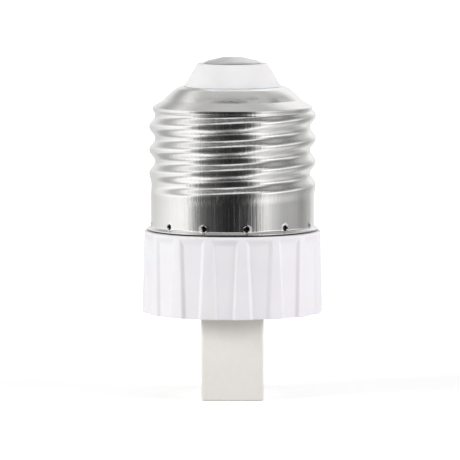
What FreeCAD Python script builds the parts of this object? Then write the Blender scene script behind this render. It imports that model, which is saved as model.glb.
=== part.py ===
import FreeCAD, Part
import math
import os
import re
import Sketcher

# Lamp socket adapter: a 27 mm screw base above, a two-pin 9 mm lamp socket below.
# The origin is the middle of the socket block's mouth face, +Z runs up the screw's axis,
# the narrow side of the block faces -Y, and every length is in millimetres.

V = FreeCAD.Vector

SIZES = (
    ("block_width", 9.7, "socket block across its narrow side, along X"),
    ("block_depth", 17.8, "socket block along Y"),
    ("block_reach", 13.2, "length of block that stands out of the collar"),
    ("block_corner", 0.5, "rounding of the block's upright edges"),
    ("block_edge", 0.3, "rounding round the block's mouth face"),
    ("block_tail", 1.3, "block above its ears"),
    ("ear_reach", 1.25, "how far each ear stands out of the block's wide side"),
    ("ear_length", 14.0, "ear along Y"),
    ("ear_thick", 2.2, "ear along Z"),
    ("recess_length", 14.6, "lamp recess in the mouth, along Y"),
    ("recess_width", 5.4, "lamp recess in the mouth, along X"),
    ("recess_deep", 6.0, "depth of the lamp recess"),
    ("recess_corner", 0.5, "rounding of the recess's corners"),
    ("web_thick", 1.2, "web between the recess and the clip pockets"),
    ("pin_spacing", 9.0, "distance between the lamp's two pins"),
    ("slot_length", 3.8, "pin slot through the web, along Y"),
    ("slot_width", 2.0, "pin slot through the web, along X"),
    ("clip_span", 4.6, "contact clip across its two legs"),
    ("clip_pinch", 0.64, "gap between the legs where they grip a pin"),
    ("clip_width", 3.4, "width of the clip's strip"),
    ("strip_thick", 0.3, "thickness of the clip's strip"),
    ("clip_toe", 3.28, "clip across the flared ends of its legs"),
    ("clip_bend", 0.6, "radius of a clip's bends at its bridge and its grip"),
    ("clip_sweep", 0.9, "radius of the bend where a leg turns in"),
    ("clip_gap", 0.4, "room round a clip in its pocket"),
    ("tail_width", 1.6, "width of the clip's tail"),
    ("tail_length", 3.6, "tail of a clip above its bridge"),
    ("cover_thick", 0.4, "insulating cover over the clip pockets"),
    ("cover_inset", 0.25, "cover's edge inside the block's edge"),
    ("eyelet_radius", 1.0, "eyelet's tube, outside"),
    ("eyelet_wall", 0.35, "eyelet's sheet"),
    ("eyelet_head", 0.7, "how far an eyelet's head stands out of its tube"),
    ("eyelet_gap", 0.1, "room round the eyelet's tube"),
    ("collar_height", 12.8, "ribbed collar, foot to top face"),
    ("collar_ledge", 0.5, "how far the ribs' top stands out of the screw shell's rim"),
    ("collar_draft", 0.25, "how much further the ribs stand out at the foot"),
    ("collar_bevel", 0.4, "bevel round the collar's top edge"),
    ("collar_floor", 2.0, "thickness of the collar's floor"),
    ("window_gap", 0.12, "room round the block in the collar's floor"),
    ("rib_count", 16, "ribs round the collar"),
    ("flute_depth", 0.43, "depth of the flutes between the ribs"),
    ("flute_foot", 2.45, "width of a flute at the foot"),
    ("flute_top", 3.6, "width of a flute at the top"),
    ("flute_flank", 0.2, "how far a flute's side leans out to the rib's face"),
    ("flute_stop", 1.1, "where a flute starts to run out, below the collar's top"),
    ("flute_turn", 4.75, "turn of a flute from the middle of the -Y side, towards -X"),
    ("neck_height", 5.6, "collar's neck inside the screw shell"),
    ("neck_wall", 1.5, "wall of the collar's neck"),
    ("neck_gap", 0.45, "room between the neck and the shell"),
    ("hook_wall", 1.1, "stem of a snap hook"),
    ("hook_width", 4.0, "snap hook along Y"),
    ("hook_grip", 0.7, "how far a hook reaches over its ear"),
    ("hook_gap", 0.1, "room between a hook and its ear"),
    ("hook_catch", 0.5, "catch of a hook, below its slope"),
    ("sheet_wall", 0.3, "thickness of the screw shell's sheet"),
    ("skirt_radius", 12.8, "plain skirt of the screw shell, outside"),
    ("skirt_height", 6.2, "shell's foot to the start of the thread"),
    ("rim_flare", 0.6, "how far the shell's rim stands out of its skirt"),
    ("dimple_count", 12, "punched dimples round the skirt"),
    ("dimple_rise", 1.05, "dimples above the shell's foot"),
    ("dimple_depth", 0.35, "how far a dimple stands in from the sheet"),
    ("dimple_pit", 0.42, "radius of a dimple's pit at the surface"),
    ("dimple_turn", 9.8, "turn of a dimple from the middle of the -Y side, towards +X"),
    ("thread_height", 12.8, "threaded stretch of the shell"),
    ("thread_pitch", 3.629, "pitch of the right-hand round thread"),
    ("crest_stand", 0.27, "how far the thread's crests stand out of the skirt"),
    ("thread_depth", 0.9, "depth of the thread, crest to root"),
    ("first_crest", 4.6, "height of a crest on the +X side above the skirt"),
    ("fade_in", 1.8, "length over which the thread rises from the skirt"),
    ("fade_out", 0.9, "length over which the thread dies below the shoulder"),
    ("shoulder_step", 0.3, "how far the shoulder's edge lies inside the skirt"),
    ("shoulder_rim", 0.3, "plain edge between the thread and the shoulder"),
    ("crease_step", 1.5, "from the shoulder's edge in to the crease"),
    ("crease_rise", 1.0, "rise from the shoulder's edge to the crease"),
    ("brow_step", 2.15, "from the crease in to the end of the cone"),
    ("brow_rise", 2.0, "rise from the crease to the end of the cone"),
    ("lip_rise", 0.3, "rise from the end of the cone to the flat lip"),
    ("lip_slope", 0.6, "how far that rise runs inwards"),
    ("lip_width", 1.15, "flat lip round the hole that holds the tip insulator"),
    ("lip_gap", 0.05, "room round the insulator's neck in that hole"),
    ("tip_lap", 0.5, "how far the tip insulator laps over the lip"),
    ("tip_edge", 1.2, "edge of the insulator round the contact"),
    ("tip_height", 3.6, "insulator above the lip"),
    ("tip_round", 0.3, "rounding of the insulator's end"),
    ("flange_thick", 1.6, "insulator's flange under the lip"),
    ("contact_radius", 4.4, "centre contact's dome"),
    ("contact_rise", 1.0, "height of the contact above the insulator"),
    ("contact_rim", 0.3, "thickness of the dome's rim"),
    ("dome_flat", 2.2, "radius of the dome's middle"),
    ("dome_rise", 0.55, "rise from the rim to the dome's middle ring"),
    ("shank_radius", 1.45, "contact's shank through the insulator"),
    ("shank_gap", 0.1, "room round the shank"),
    ("rivet_radius", 2.1, "riveted head that holds the shank"),
    ("rivet_thick", 0.4, "thickness of the riveted head"),
    ("strip_lap", 2.6, "lap of a strip on its clip's tail"),
    ("strip_bend", 0.8, "radius of the live strip's bend under the insulator"),
    ("live_bend", 3.2, "radius of the live strip's other bends"),
    ("live_width", 4.6, "live strip, wide enough for the shank's hole"),
    ("live_rise", 8.5, "live strip's straight stretch above its clip's tail"),
    ("live_merge", 6.5, "live strip's straight stretch under the insulator"),
    ("live_stand", 3.3, "live strip's upright stretch, from the axis"),
    ("neutral_width", 3.0, "neutral strip"),
    ("neutral_rise", 1.5, "neutral strip's straight stretch above its clip's tail"),
    ("neutral_bend", 1.6, "radius of the neutral strip's wider bends"),
    ("neutral_climb", 2.6, "neutral strip's upright stretch below the neck's rim"),
    ("neutral_run", 3.0, "neutral strip's run down between the neck and the shell"),
    ("touch_gap", 0.03, "running room where a strip lies on what it touches"),
    ("thread_levels", 5, "round sections in one pitch of the thread"),
)

PLACES = {
    "ear_low": "block_reach + collar_floor",
    "ear_high": "ear_low + ear_thick",
    "block_top": "ear_high + block_tail",
    "cover_top": "block_top + cover_thick",
    "web_top": "recess_deep + web_thick",
    "pin_place": "pin_spacing / 2",
    "tail_place": "pin_place + clip_width / 2 - strip_thick",
    "tail_high": "block_top + tail_length",
    "strip_low": "tail_high - strip_lap",
    "eyelet_hole": "eyelet_radius + eyelet_gap",
    "collar_high": "block_reach + collar_height",
    "rim_radius": "skirt_radius + rim_flare",
    "collar_top": "rim_radius + collar_ledge",
    "collar_foot": "collar_top + collar_draft",
    "skirt_inside": "skirt_radius - sheet_wall",
    "neck_radius": "skirt_inside - neck_gap",
    "bore_radius": "neck_radius - neck_wall",
    "crest_radius": "skirt_radius + crest_stand",
    "root_radius": "crest_radius - thread_depth",
    "root_inside": "root_radius - sheet_wall",
    "neck_top": "collar_high + neck_height",
    "dimple_high": "collar_high + dimple_rise",
    "hook_inside": "block_width / 2 + ear_reach + hook_gap",
    "hook_low": "ear_high + hook_gap",
    "skirt_top": "collar_high + skirt_height",
    "thread_top": "skirt_top + thread_height",
    "edge_high": "thread_top + shoulder_rim",
    "shoulder_radius": "skirt_radius - shoulder_step",
    "crease_radius": "shoulder_radius - crease_step",
    "brow_radius": "crease_radius - brow_step",
    "crease_high": "edge_high + crease_rise",
    "brow_high": "crease_high + brow_rise",
    "lip_high": "brow_high + lip_rise",
    "lip_low": "lip_high - sheet_wall",
    "lip_edge": "brow_radius - lip_slope",
    "lip_radius": "lip_edge - lip_width",
    "flange_radius": "lip_edge - lip_gap",
    "flange_low": "lip_low - flange_thick",
    "tip_high": "lip_high + tip_height",
    "tip_base": "lip_radius + tip_lap",
    "tip_end": "contact_radius + tip_edge",
    "rivet_high": "flange_low - strip_thick",
    "shank_hole": "shank_radius + shank_gap",
}

DRIVING = {alias for alias, amount, note in SIZES}

doc = FreeCAD.newDocument("lamp_socket_adapter")
sizes = doc.addObject("Spreadsheet::Sheet", "sizes")
for row, (alias, amount, note) in enumerate(SIZES, start=1):
    sizes.set(f"A{row}", note)
    sizes.set(f"B{row}", str(amount))
    sizes.setAlias(f"B{row}", alias)
doc.recompute()


# A formula in words becomes one in cells of the sheet.
def formula(words):
    def swap(match):
        word = match.group(0)
        if word in DRIVING:
            return "sizes." + word
        if word in PLACES:
            return "(" + formula(PLACES[word]) + ")"
        return word
    return re.sub(r"[A-Za-z_]\w*", swap, words)


def amount_of(words):
    return float(sizes.evalExpression(formula(words)))


def bind(thing, **sizes_of):
    for name, words in sizes_of.items():
        thing.setExpression(name, formula(words))


def make(kind, name, **sizes_of):
    thing = doc.addObject(kind, name)
    thing.Label = name
    bind(thing, **sizes_of)
    return thing


def place(thing, x="0", y="0", z="0"):
    for axis, words in (("x", x), ("y", y), ("z", z)):
        if words != "0":
            thing.setExpression(f"Placement.Base.{axis}", formula(words))


# Ties a point of a sketch to its two distances from the sketch's origin.
def pin_down(sketch, curve, end, x, y):
    for kind, words, axis in (("DistanceX", x, -2), ("DistanceY", y, -1)):
        if words == "0":
            sketch.addConstraint(Sketcher.Constraint("PointOnObject", curve, end, axis))
        else:
            index = sketch.addConstraint(
                Sketcher.Constraint(kind, -1, 1, curve, end, amount_of(words)))
            sketch.setExpression(f"Constraints[{index}]", formula(words))


# Draws straight runs through the corners (x, y) or (x, y, radius); a corner with a radius
# is rounded by an arc tangent to both of its runs.
def outline(sketch, corners, closed=True):
    count = len(corners)
    runs = count if closed else count - 1
    spots = [V(amount_of(corner[0]), amount_of(corner[1]), 0) for corner in corners]
    radii = [amount_of(corner[2]) if len(corner) > 2 else 0.0 for corner in corners]
    trims = []
    for i, radius in enumerate(radii):
        if radius:
            back = spots[i - 1] - spots[i]
            ahead = spots[(i + 1) % count] - spots[i]
            trims.append(radius / math.tan(back.getAngle(ahead) / 2))
        else:
            trims.append(0.0)
    lines = []
    for i in range(runs):
        j = (i + 1) % count
        along = (spots[j] - spots[i]).normalize()
        run = Part.LineSegment(spots[i] + along * trims[i], spots[j] - along * trims[j])
        lines.append(sketch.addGeometry(run, False))
    if not closed:
        pin_down(sketch, lines[0], 1, *corners[0][:2])
        pin_down(sketch, lines[-1], 2, *corners[-1][:2])
    for i in range(0 if closed else 1, count if closed else count - 1):
        before, after = lines[i - 1], lines[i]
        if not radii[i]:
            sketch.addConstraint(Sketcher.Constraint("Coincident", before, 2, after, 1))
            pin_down(sketch, after, 1, *corners[i][:2])
            continue
        start = sketch.getPoint(before, 2)
        stop = sketch.getPoint(after, 1)
        middle = (start + stop) / 2 - spots[i]
        reach = math.hypot(radii[i], trims[i])
        centre = spots[i] + middle.normalize() * reach
        low = math.atan2(start.y - centre.y, start.x - centre.x)
        high = math.atan2(stop.y - centre.y, stop.x - centre.x)
        turn = (high - low + math.pi) % (2 * math.pi) - math.pi
        first, second = (1, 2) if turn > 0 else (2, 1)
        if turn < 0:
            low = high
        ring = Part.Circle(centre, V(0, 0, 1), radii[i])
        arc = sketch.addGeometry(Part.ArcOfCircle(ring, low, low + abs(turn)), False)
        sketch.addConstraint(Sketcher.Constraint("Tangent", before, 2, arc, first))
        sketch.addConstraint(Sketcher.Constraint("Tangent", arc, second, after, 1))
        index = sketch.addConstraint(Sketcher.Constraint("Radius", arc, radii[i]))
        sketch.setExpression(f"Constraints[{index}]", formula(corners[i][2]))
        corner = sketch.addGeometry(Part.Point(spots[i]), True)
        sketch.addConstraint(Sketcher.Constraint("PointOnObject", corner, 1, before))
        sketch.addConstraint(Sketcher.Constraint("PointOnObject", corner, 1, after))
        pin_down(sketch, corner, 1, *corners[i][:2])


def rectangle(sketch, x_low, x_high, y_low, y_high, rounding=None):
    more = (rounding,) if rounding else ()
    outline(sketch, [(x_low, y_low) + more, (x_high, y_low) + more,
                     (x_high, y_high) + more, (x_low, y_high) + more])


def circle(sketch, x, y, radius):
    centre = V(amount_of(x), amount_of(y), 0)
    ring = sketch.addGeometry(Part.Circle(centre, V(0, 0, 1), amount_of(radius)), False)
    index = sketch.addConstraint(Sketcher.Constraint("Radius", ring, amount_of(radius)))
    sketch.setExpression(f"Constraints[{index}]", formula(radius))
    pin_down(sketch, ring, 3, x, y)


# A sketch on one of its body's own planes, raised to a height and turned about Z.
def sketch_in(body, name, role, height=None, turn=None):
    sketch = body.newObject("Sketcher::SketchObject", name)
    plane = [f for f in body.Origin.OriginFeatures if f.Role == role][0]
    sketch.AttachmentSupport = [(plane, "")]
    sketch.MapMode = "FlatFace"
    if height:
        sketch.setExpression("AttachmentOffset.Base.z", formula(height))
    if turn:
        angle = amount_of(turn)
        offset = V(0, 0, amount_of(height) if height else 0)
        sketch.AttachmentOffset = FreeCAD.Placement(offset, FreeCAD.Rotation(V(0, 0, 1), angle))
        sketch.setExpression("AttachmentOffset.Rotation.Angle", formula(turn))
    return sketch


# A free sketch upright in Z, across the axis in the direction given.
def side_sketch(name, across=V(1, 0, 0)):
    sketch = doc.addObject("Sketcher::SketchObject", name)
    up = V(0, 0, 1)
    sketch.Placement = FreeCAD.Placement(
        V(0, 0, 0), FreeCAD.Rotation(across, up, across.cross(up), "ZXY"))
    return sketch


def feature(body, kind, name, profile, **sizes_of):
    step = body.newObject("PartDesign::" + kind, name)
    step.Profile = profile
    bind(step, **sizes_of)
    profile.Visibility = False
    return step


def turned(label, corners):
    body = make("PartDesign::Body", label)
    sketch = sketch_in(body, label + "_section", "XZ_Plane")
    outline(sketch, corners)
    step = feature(body, "Revolution", label + "_turned", sketch)
    step.ReferenceAxis = (sketch, ["V_Axis"])
    step.Angle = 360
    return body


# Checks that a step took material away or added it, as it should.
def changed(body, before, grows):
    doc.recompute()
    after = body.Shape.Volume
    if (after > before) != grows or abs(after - before) < 1e-4:
        raise ValueError(f"{body.Label}: a step changed the volume from {before} to {after}")
    return after


def socket_block():
    body = make("PartDesign::Body", "socket_block")
    half = "block_width / 2", "block_depth / 2"
    main = sketch_in(body, "block_outline", "XY_Plane")
    rectangle(main, "-" + half[0], half[0], "-" + half[1], half[1], "block_corner")
    prism = feature(body, "Pad", "block_prism", main, Length="block_top")
    doc.recompute()
    edges = [f"Edge{i}" for i, edge in enumerate(prism.Shape.Edges, start=1)
             if edge.BoundBox.ZMax < 1e-6]
    soft = body.newObject("PartDesign::Fillet", "block_mouth_edge")
    soft.Base = (prism, edges)
    bind(soft, Radius="block_edge")
    doc.recompute()
    size = body.Shape.Volume
    ears = sketch_in(body, "ear_outline", "XY_Plane", "ear_low")
    side = "(block_width / 2 + ear_reach)"
    rectangle(ears, "-" + side, side, "-ear_length / 2", "ear_length / 2", "block_corner")
    feature(body, "Pad", "ears", ears, Length="ear_thick")
    size = changed(body, size, True)
    mouth = sketch_in(body, "recess_outline", "XY_Plane")
    rectangle(mouth, "-recess_width / 2", "recess_width / 2",
              "-recess_length / 2", "recess_length / 2", "recess_corner")
    recess = feature(body, "Pocket", "lamp_recess", mouth, Length="recess_deep")
    recess.Reversed = True
    size = changed(body, size, False)
    slots = sketch_in(body, "slot_outline", "XY_Plane")
    for sign in ("-", ""):
        rectangle(slots, "-slot_width / 2", "slot_width / 2",
                  f"{sign}pin_place - slot_length / 2", f"{sign}pin_place + slot_length / 2")
    pins = feature(body, "Pocket", "pin_slots", slots, Length="web_top")
    pins.Reversed = True
    size = changed(body, size, False)
    rooms = sketch_in(body, "pocket_outline", "XY_Plane", "block_top")
    wide = "(clip_span / 2 + clip_gap)"
    long = "(clip_width / 2 + clip_gap)"
    for sign in ("-", ""):
        rectangle(rooms, "-" + wide, wide, f"{sign}pin_place - {long}", f"{sign}pin_place + {long}")
    feature(body, "Pocket", "clip_pockets", rooms, Length="block_top - web_top")
    size = changed(body, size, False)
    hole = sketch_in(body, "eyelet_hole_outline", "XY_Plane", "block_top")
    circle(hole, "0", "0", "eyelet_hole")
    feature(body, "Pocket", "eyelet_hole", hole, Length="block_top - recess_deep")
    changed(body, size, False)
    return body


def collar():
    body = turned("collar", [
        ("0", "block_reach"),
        ("collar_foot", "block_reach"),
        ("collar_top", "collar_high - collar_bevel"),
        ("collar_top - collar_bevel", "collar_high"),
        ("neck_radius", "collar_high"),
        ("neck_radius", "neck_top"),
        ("bore_radius", "neck_top"),
        ("bore_radius", "ear_low"),
        ("0", "ear_low"),
    ])
    doc.recompute()
    size = body.Shape.Volume
    window = sketch_in(body, "window_outline", "XY_Plane", "ear_low")
    wide, deep = "(block_width / 2 + window_gap)", "(block_depth / 2 + window_gap)"
    rectangle(window, "-" + wide, wide, "-" + deep, deep)
    feature(body, "Pocket", "window", window, Length="collar_floor")
    size = changed(body, size, False)
    for sign, name in (("", "right"), ("-", "left")):
        hook = sketch_in(body, name + "_hook_outline", "XZ_Plane")
        outline(hook, [(f"{sign}({x})", z) for x, z in (
            ("hook_inside", "ear_low - collar_floor / 2"),
            ("hook_inside + hook_wall", "ear_low - collar_floor / 2"),
            ("hook_inside + hook_wall", "block_top"),
            ("hook_inside", "block_top"),
            ("hook_inside - hook_grip", "hook_low + hook_catch"),
            ("hook_inside - hook_grip", "hook_low"),
            ("hook_inside", "hook_low"))])
        stem = feature(body, "Pad", name + "_hook", hook, Length="hook_width")
        stem.Midplane = True
        size = changed(body, size, True)
    turn = "-90 - flute_turn"
    low = sketch_in(body, "flute_low", "XY_Plane", "block_reach - flute_depth", turn)
    high = sketch_in(body, "flute_high", "XY_Plane", "collar_high - flute_stop", turn)
    for section, radius, width in ((low, "collar_foot", "flute_foot"),
                                   (high, "collar_top", "flute_top")):
        inner, outer = f"({radius} - flute_depth)", f"({radius} + flute_depth)"
        outline(section, [(inner, f"-{width} / 2"),
                          (outer, f"-{width} / 2 - flute_flank"),
                          (outer, f"{width} / 2 + flute_flank"),
                          (inner, f"{width} / 2")])
    flute = feature(body, "SubtractiveLoft", "flute", low)
    flute.Sections = [high]
    flute.Ruled = True
    size = changed(body, size, False)
    ring = body.newObject("PartDesign::PolarPattern", "flutes")
    ring.Originals = [flute]
    axis = [f for f in body.Origin.OriginFeatures if f.Role == "Z_Axis"][0]
    ring.Axis = (axis, [""])
    ring.Angle = 360
    bind(ring, Occurrences="rib_count")
    body.Tip = ring
    changed(body, size, False)
    return body


def smooth(share):
    share = max(0.0, min(1.0, share))
    return share * share * (3 - 2 * share)


# The shell above its skirt, filled: a section square to the axis through a round
# single-start thread is a circle whose centre circles the axis once a pitch, so the threaded
# stretch is ruled between such circles. The centre's distance from the axis fades to nothing
# at both ends, and the shoulder goes on from there in rings about the axis.
def threaded(name):
    low, high = amount_of("skirt_top"), amount_of("thread_top")
    pitch = sizes.thread_pitch
    shoulder = amount_of("shoulder_radius")
    swing = sizes.thread_depth / 2
    middle = amount_of("crest_radius") - swing
    steps = math.ceil((high - low) / pitch * sizes.thread_levels)
    rings = []

    def ring(centre, radius):
        rings.append(Part.Wire([Part.Circle(centre, V(0, 0, 1), radius).toShape()]))

    for i in range(steps + 1):
        z = low + (high - low) * i / steps
        rising = smooth((z - low) / sizes.fade_in)
        dying = smooth((high - z) / sizes.fade_out)
        radius = sizes.skirt_radius + rising * (middle - sizes.skirt_radius)
        radius = shoulder + dying * (radius - shoulder)
        away = swing * rising * dying
        turn = 2 * math.pi * (z - low - sizes.first_crest) / pitch
        ring(V(away * math.cos(turn), away * math.sin(turn), z), radius)
    for height, radius in (("edge_high", "shoulder_radius"), ("crease_high", "crease_radius"),
                           ("brow_high", "brow_radius"), ("lip_high", "lip_edge")):
        ring(V(0, 0, amount_of(height)), amount_of(radius))
    thing = doc.addObject("Part::Feature", name)
    thing.Label = name
    thing.Shape = Part.makeLoft(rings, True, True)
    return thing


# A line thickened to its left, as one goes along it, is the section of a bent or turned sheet.
def sheet(name, line, thick):
    wall = make("Part::Offset2D", name + "_wall", Value=thick)
    wall.Source = line
    wall.Mode = "Skin"
    wall.Join = "Intersection"
    wall.Fill = True
    doc.recompute()
    start, stop = line.getPoint(0, 1), line.getPoint(0, 2)
    along = (stop - start).normalize()
    left = V(-along.y, along.x, 0) * (amount_of(thick) / 2)
    if not wall.Shape.isInside(line.Placement.multVec((start + stop) / 2 + left), 1e-4, True):
        bind(wall, Value=f"-({thick})")
    return wall


def spun(name, section):
    ring = make("Part::Revolution", name)
    ring.Source = section
    ring.Axis = V(0, 0, 1)
    ring.Angle = 360
    ring.Solid = True
    return ring


# A strip of sheet bent along a line and as wide as the words say.
def strip(name, line, direction, width):
    bent = make("Part::Extrusion", name, LengthFwd=width)
    bent.Base = sheet(name, line, "strip_thick")
    bent.DirMode = "Custom"
    bent.Dir = direction
    bent.Solid = True
    return bent


def fused(label, pieces):
    whole = make("Part::MultiFuse", label)
    whole.Shapes = pieces
    whole.Refine = False
    return whole


def cut(label, base, tool):
    rest = make("Part::Cut", label)
    rest.Base = base
    rest.Tool = tool
    rest.Refine = False
    return rest


# A six-sided punch on the dimples' line, pointing at the axis from a radius outside.
def punch(name, step, start, **sizes_of):
    tool = make("Part::Prism", name, **sizes_of)
    tool.Polygon = 6
    angle = math.radians(-90 + sizes.dimple_turn + 360 * step / sizes.dimple_count)
    outward = V(math.cos(angle), math.sin(angle), 0)
    spot = outward * amount_of(start) + V(0, 0, amount_of("dimple_high"))
    tool.Placement = FreeCAD.Placement(spot, FreeCAD.Rotation(V(0, 0, 1), -outward))
    return tool


def screw_shell():
    line = side_sketch("skirt_line")
    outline(line, [
        ("rim_radius", "collar_high + sheet_wall"),
        ("skirt_radius", "collar_high + sheet_wall"),
        ("skirt_radius", "skirt_top"),
    ], closed=False)
    skirt = spun("shell_skirt", sheet("shell_skirt", line, "sheet_wall"))
    hollow = side_sketch("hollow_section")
    slope = "brow_rise / (crease_radius - brow_radius)"
    outline(hollow, [
        ("0", "skirt_top - sheet_wall"),
        ("skirt_inside", "skirt_top - sheet_wall"),
        ("skirt_inside", "skirt_top"),
        ("root_inside", "skirt_top + fade_in / 2"),
        ("root_inside", f"lip_low - {slope} * (root_inside - lip_edge)"),
        ("lip_edge", "lip_low"),
        ("lip_radius", "lip_low"),
        ("lip_radius", "lip_high + sheet_wall"),
        ("0", "lip_high + sheet_wall"),
    ])
    upper = cut("shell_upper", threaded("thread_outside"), spun("shell_hollow", hollow))
    bumps, pits = [], []
    for step in range(int(sizes.dimple_count)):
        bumps.append(punch(f"bump_{step}", step, "skirt_radius - sheet_wall / 2",
                           Circumradius="dimple_pit + sheet_wall",
                           Height="dimple_depth + sheet_wall / 2"))
        pits.append(punch(f"pit_{step}", step, "skirt_radius + sheet_wall",
                          Circumradius="dimple_pit", Height="dimple_depth + sheet_wall"))
    solid = fused("shell_unpunched", [skirt, upper] + bumps)
    return cut("screw_shell", solid, fused("dimple_pits", pits))


def tip_insulator():
    return turned("tip_insulator", [
        ("shank_hole", "flange_low"),
        ("flange_radius", "flange_low"),
        ("flange_radius", "lip_low"),
        ("lip_radius - lip_gap", "lip_low"),
        ("lip_radius - lip_gap", "lip_high"),
        ("tip_base", "lip_high"),
        ("tip_end", "tip_high - tip_round"),
        ("tip_end - tip_round", "tip_high"),
        ("shank_hole", "tip_high"),
    ])


def centre_contact():
    return turned("centre_contact", [
        ("0", "tip_high + contact_rise"),
        ("dome_flat", "tip_high + contact_rim + dome_rise"),
        ("contact_radius", "tip_high + contact_rim"),
        ("contact_radius", "tip_high"),
        ("shank_radius", "tip_high"),
        ("shank_radius", "rivet_high"),
        ("rivet_radius", "rivet_high"),
        ("rivet_radius", "rivet_high - rivet_thick"),
        ("0", "rivet_high - rivet_thick"),
    ])


def cover_eyelet():
    inner = "(eyelet_radius - eyelet_wall)"
    head = "(eyelet_radius + eyelet_head)"
    return turned("cover_eyelet", [
        (inner, "recess_deep - eyelet_wall"),
        (head, "recess_deep - eyelet_wall"),
        (head, "recess_deep"),
        ("eyelet_radius", "recess_deep"),
        ("eyelet_radius", "cover_top"),
        (head, "cover_top"),
        (head, "cover_top + eyelet_wall"),
        (inner, "cover_top + eyelet_wall"),
    ])


def mica_cover():
    body = make("PartDesign::Body", "mica_cover")
    plan = sketch_in(body, "cover_outline", "XY_Plane", "block_top")
    wide = "(block_width / 2 - cover_inset)"
    deep = "(block_depth / 2 - cover_inset)"
    rectangle(plan, "-" + wide, wide, "-" + deep, deep, "block_corner")
    circle(plan, "0", "0", "eyelet_hole")
    room = "(tail_width / 2 + touch_gap)"
    for low, high in (("-tail_place - strip_thick - touch_gap", "-tail_place + touch_gap"),
                      ("tail_place - touch_gap", "tail_place + strip_thick + touch_gap")):
        rectangle(plan, "-" + room, room, low, high)
    feature(body, "Pad", "cover_plate", plan, Length="cover_thick")
    return body


# A contact clip: a strip folded to two legs that pinch the lamp's pin, with a tail lanced
# from its bridge. It lies on the side of Y given by the sign.
def contact_clip(label, sign):
    foot = "web_top + strip_thick"
    knee = "web_top + clip_span / 2"
    hip = "block_top - clip_span"
    half = "(clip_span / 2)"
    grip = "(clip_pinch / 2 + strip_thick)"
    toe = "(clip_toe / 2)"
    line = side_sketch(label + "_line")
    outline(line, [
        (toe, foot),
        (grip, knee, "clip_bend"),
        (half, hip, "clip_sweep"),
        (half, "block_top", "clip_bend"),
        ("-" + half, "block_top", "clip_bend"),
        ("-" + half, hip, "clip_sweep"),
        ("-" + grip, knee, "clip_bend"),
        ("-" + toe, foot),
    ], closed=False)
    legs = strip(label + "_legs", line, V(0, 1, 0), "clip_width")
    place(legs, y=f"{sign}pin_place - clip_width / 2")
    tail = make("Part::Box", label + "_tail", Length="tail_width", Width="strip_thick",
                Height="tail_length + strip_thick")
    low = "tail_place" if sign == "" else "-tail_place - strip_thick"
    place(tail, "-tail_width / 2", low, "block_top - strip_thick")
    return fused(label, [legs, tail])


# The live strip climbs from its clip's tail to lie flat under the insulator, where the
# contact's rivet goes through it. Its sketch runs from the axis towards -Y.
def live_strip():
    line = side_sketch("live_strip_line", V(0, -1, 0))
    outline(line, [
        ("tail_place", "strip_low"),
        ("tail_place", "tail_high + live_rise", "live_bend"),
        ("live_stand", "flange_low - live_merge", "live_bend"),
        ("live_stand", "flange_low", "strip_bend"),
        ("-rivet_radius - strip_bend", "flange_low"),
    ], closed=False)
    bent = strip("live_strip_bent", line, V(1, 0, 0), "live_width")
    place(bent, "-live_width / 2")
    hole = make("Part::Cylinder", "live_strip_hole", Radius="shank_hole",
                Height="strip_thick + 2 * rivet_thick")
    place(hole, z="rivet_high - rivet_thick")
    return cut("live_strip", bent, hole)


# The neutral strip climbs from its clip's tail, folds over the rim of the collar's neck and
# presses its end against the inside of the screw shell's skirt.
def neutral_strip():
    line = side_sketch("neutral_strip_line", V(0, 1, 0))
    inside = "(sqrt((bore_radius - touch_gap) ^ 2 - (neutral_width / 2) ^ 2))"
    over = "(neck_top + touch_gap)"
    down = "(sqrt((skirt_inside - touch_gap) ^ 2 - (neutral_width / 2) ^ 2) - strip_thick)"
    outline(line, [
        ("tail_place", "strip_low"),
        ("tail_place", "tail_high + neutral_rise", "neutral_bend"),
        (inside, "neck_top - neutral_climb", "neutral_bend"),
        (inside, over),
        (down, over),
        (down, "neck_top - neutral_run"),
    ], closed=False)
    bent = strip("neutral_strip", line, V(1, 0, 0), "neutral_width")
    place(bent, "-neutral_width / 2")
    return bent


pieces = [
    screw_shell(), tip_insulator(), centre_contact(), collar(), socket_block(),
    contact_clip("live_clip", "-"), contact_clip("neutral_clip", ""),
    mica_cover(), cover_eyelet(), live_strip(), neutral_strip(),
]
doc.recompute()

for thing in doc.Objects:
    if "Invalid" in thing.State or "Error" in thing.State:
        raise ValueError(f"{thing.Label} is {thing.State}")

os.makedirs("parts", exist_ok=True)
for piece in pieces:
    shape = piece.Shape
    if shape.isNull() or not shape.isValid() or len(shape.Solids) != 1:
        raise ValueError(f"{piece.Label} isn't one valid solid")
    shape.exportStep(f"parts/{piece.Label}.step")
    box = shape.BoundBox
    print(f"{piece.Label}: {shape.Volume:.2f} mm3, "
          f"X {box.XMin:.2f} {box.XMax:.2f}, Y {box.YMin:.2f} {box.YMax:.2f}, "
          f"Z {box.ZMin:.2f} {box.ZMax:.2f}")
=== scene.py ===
import math

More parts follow.
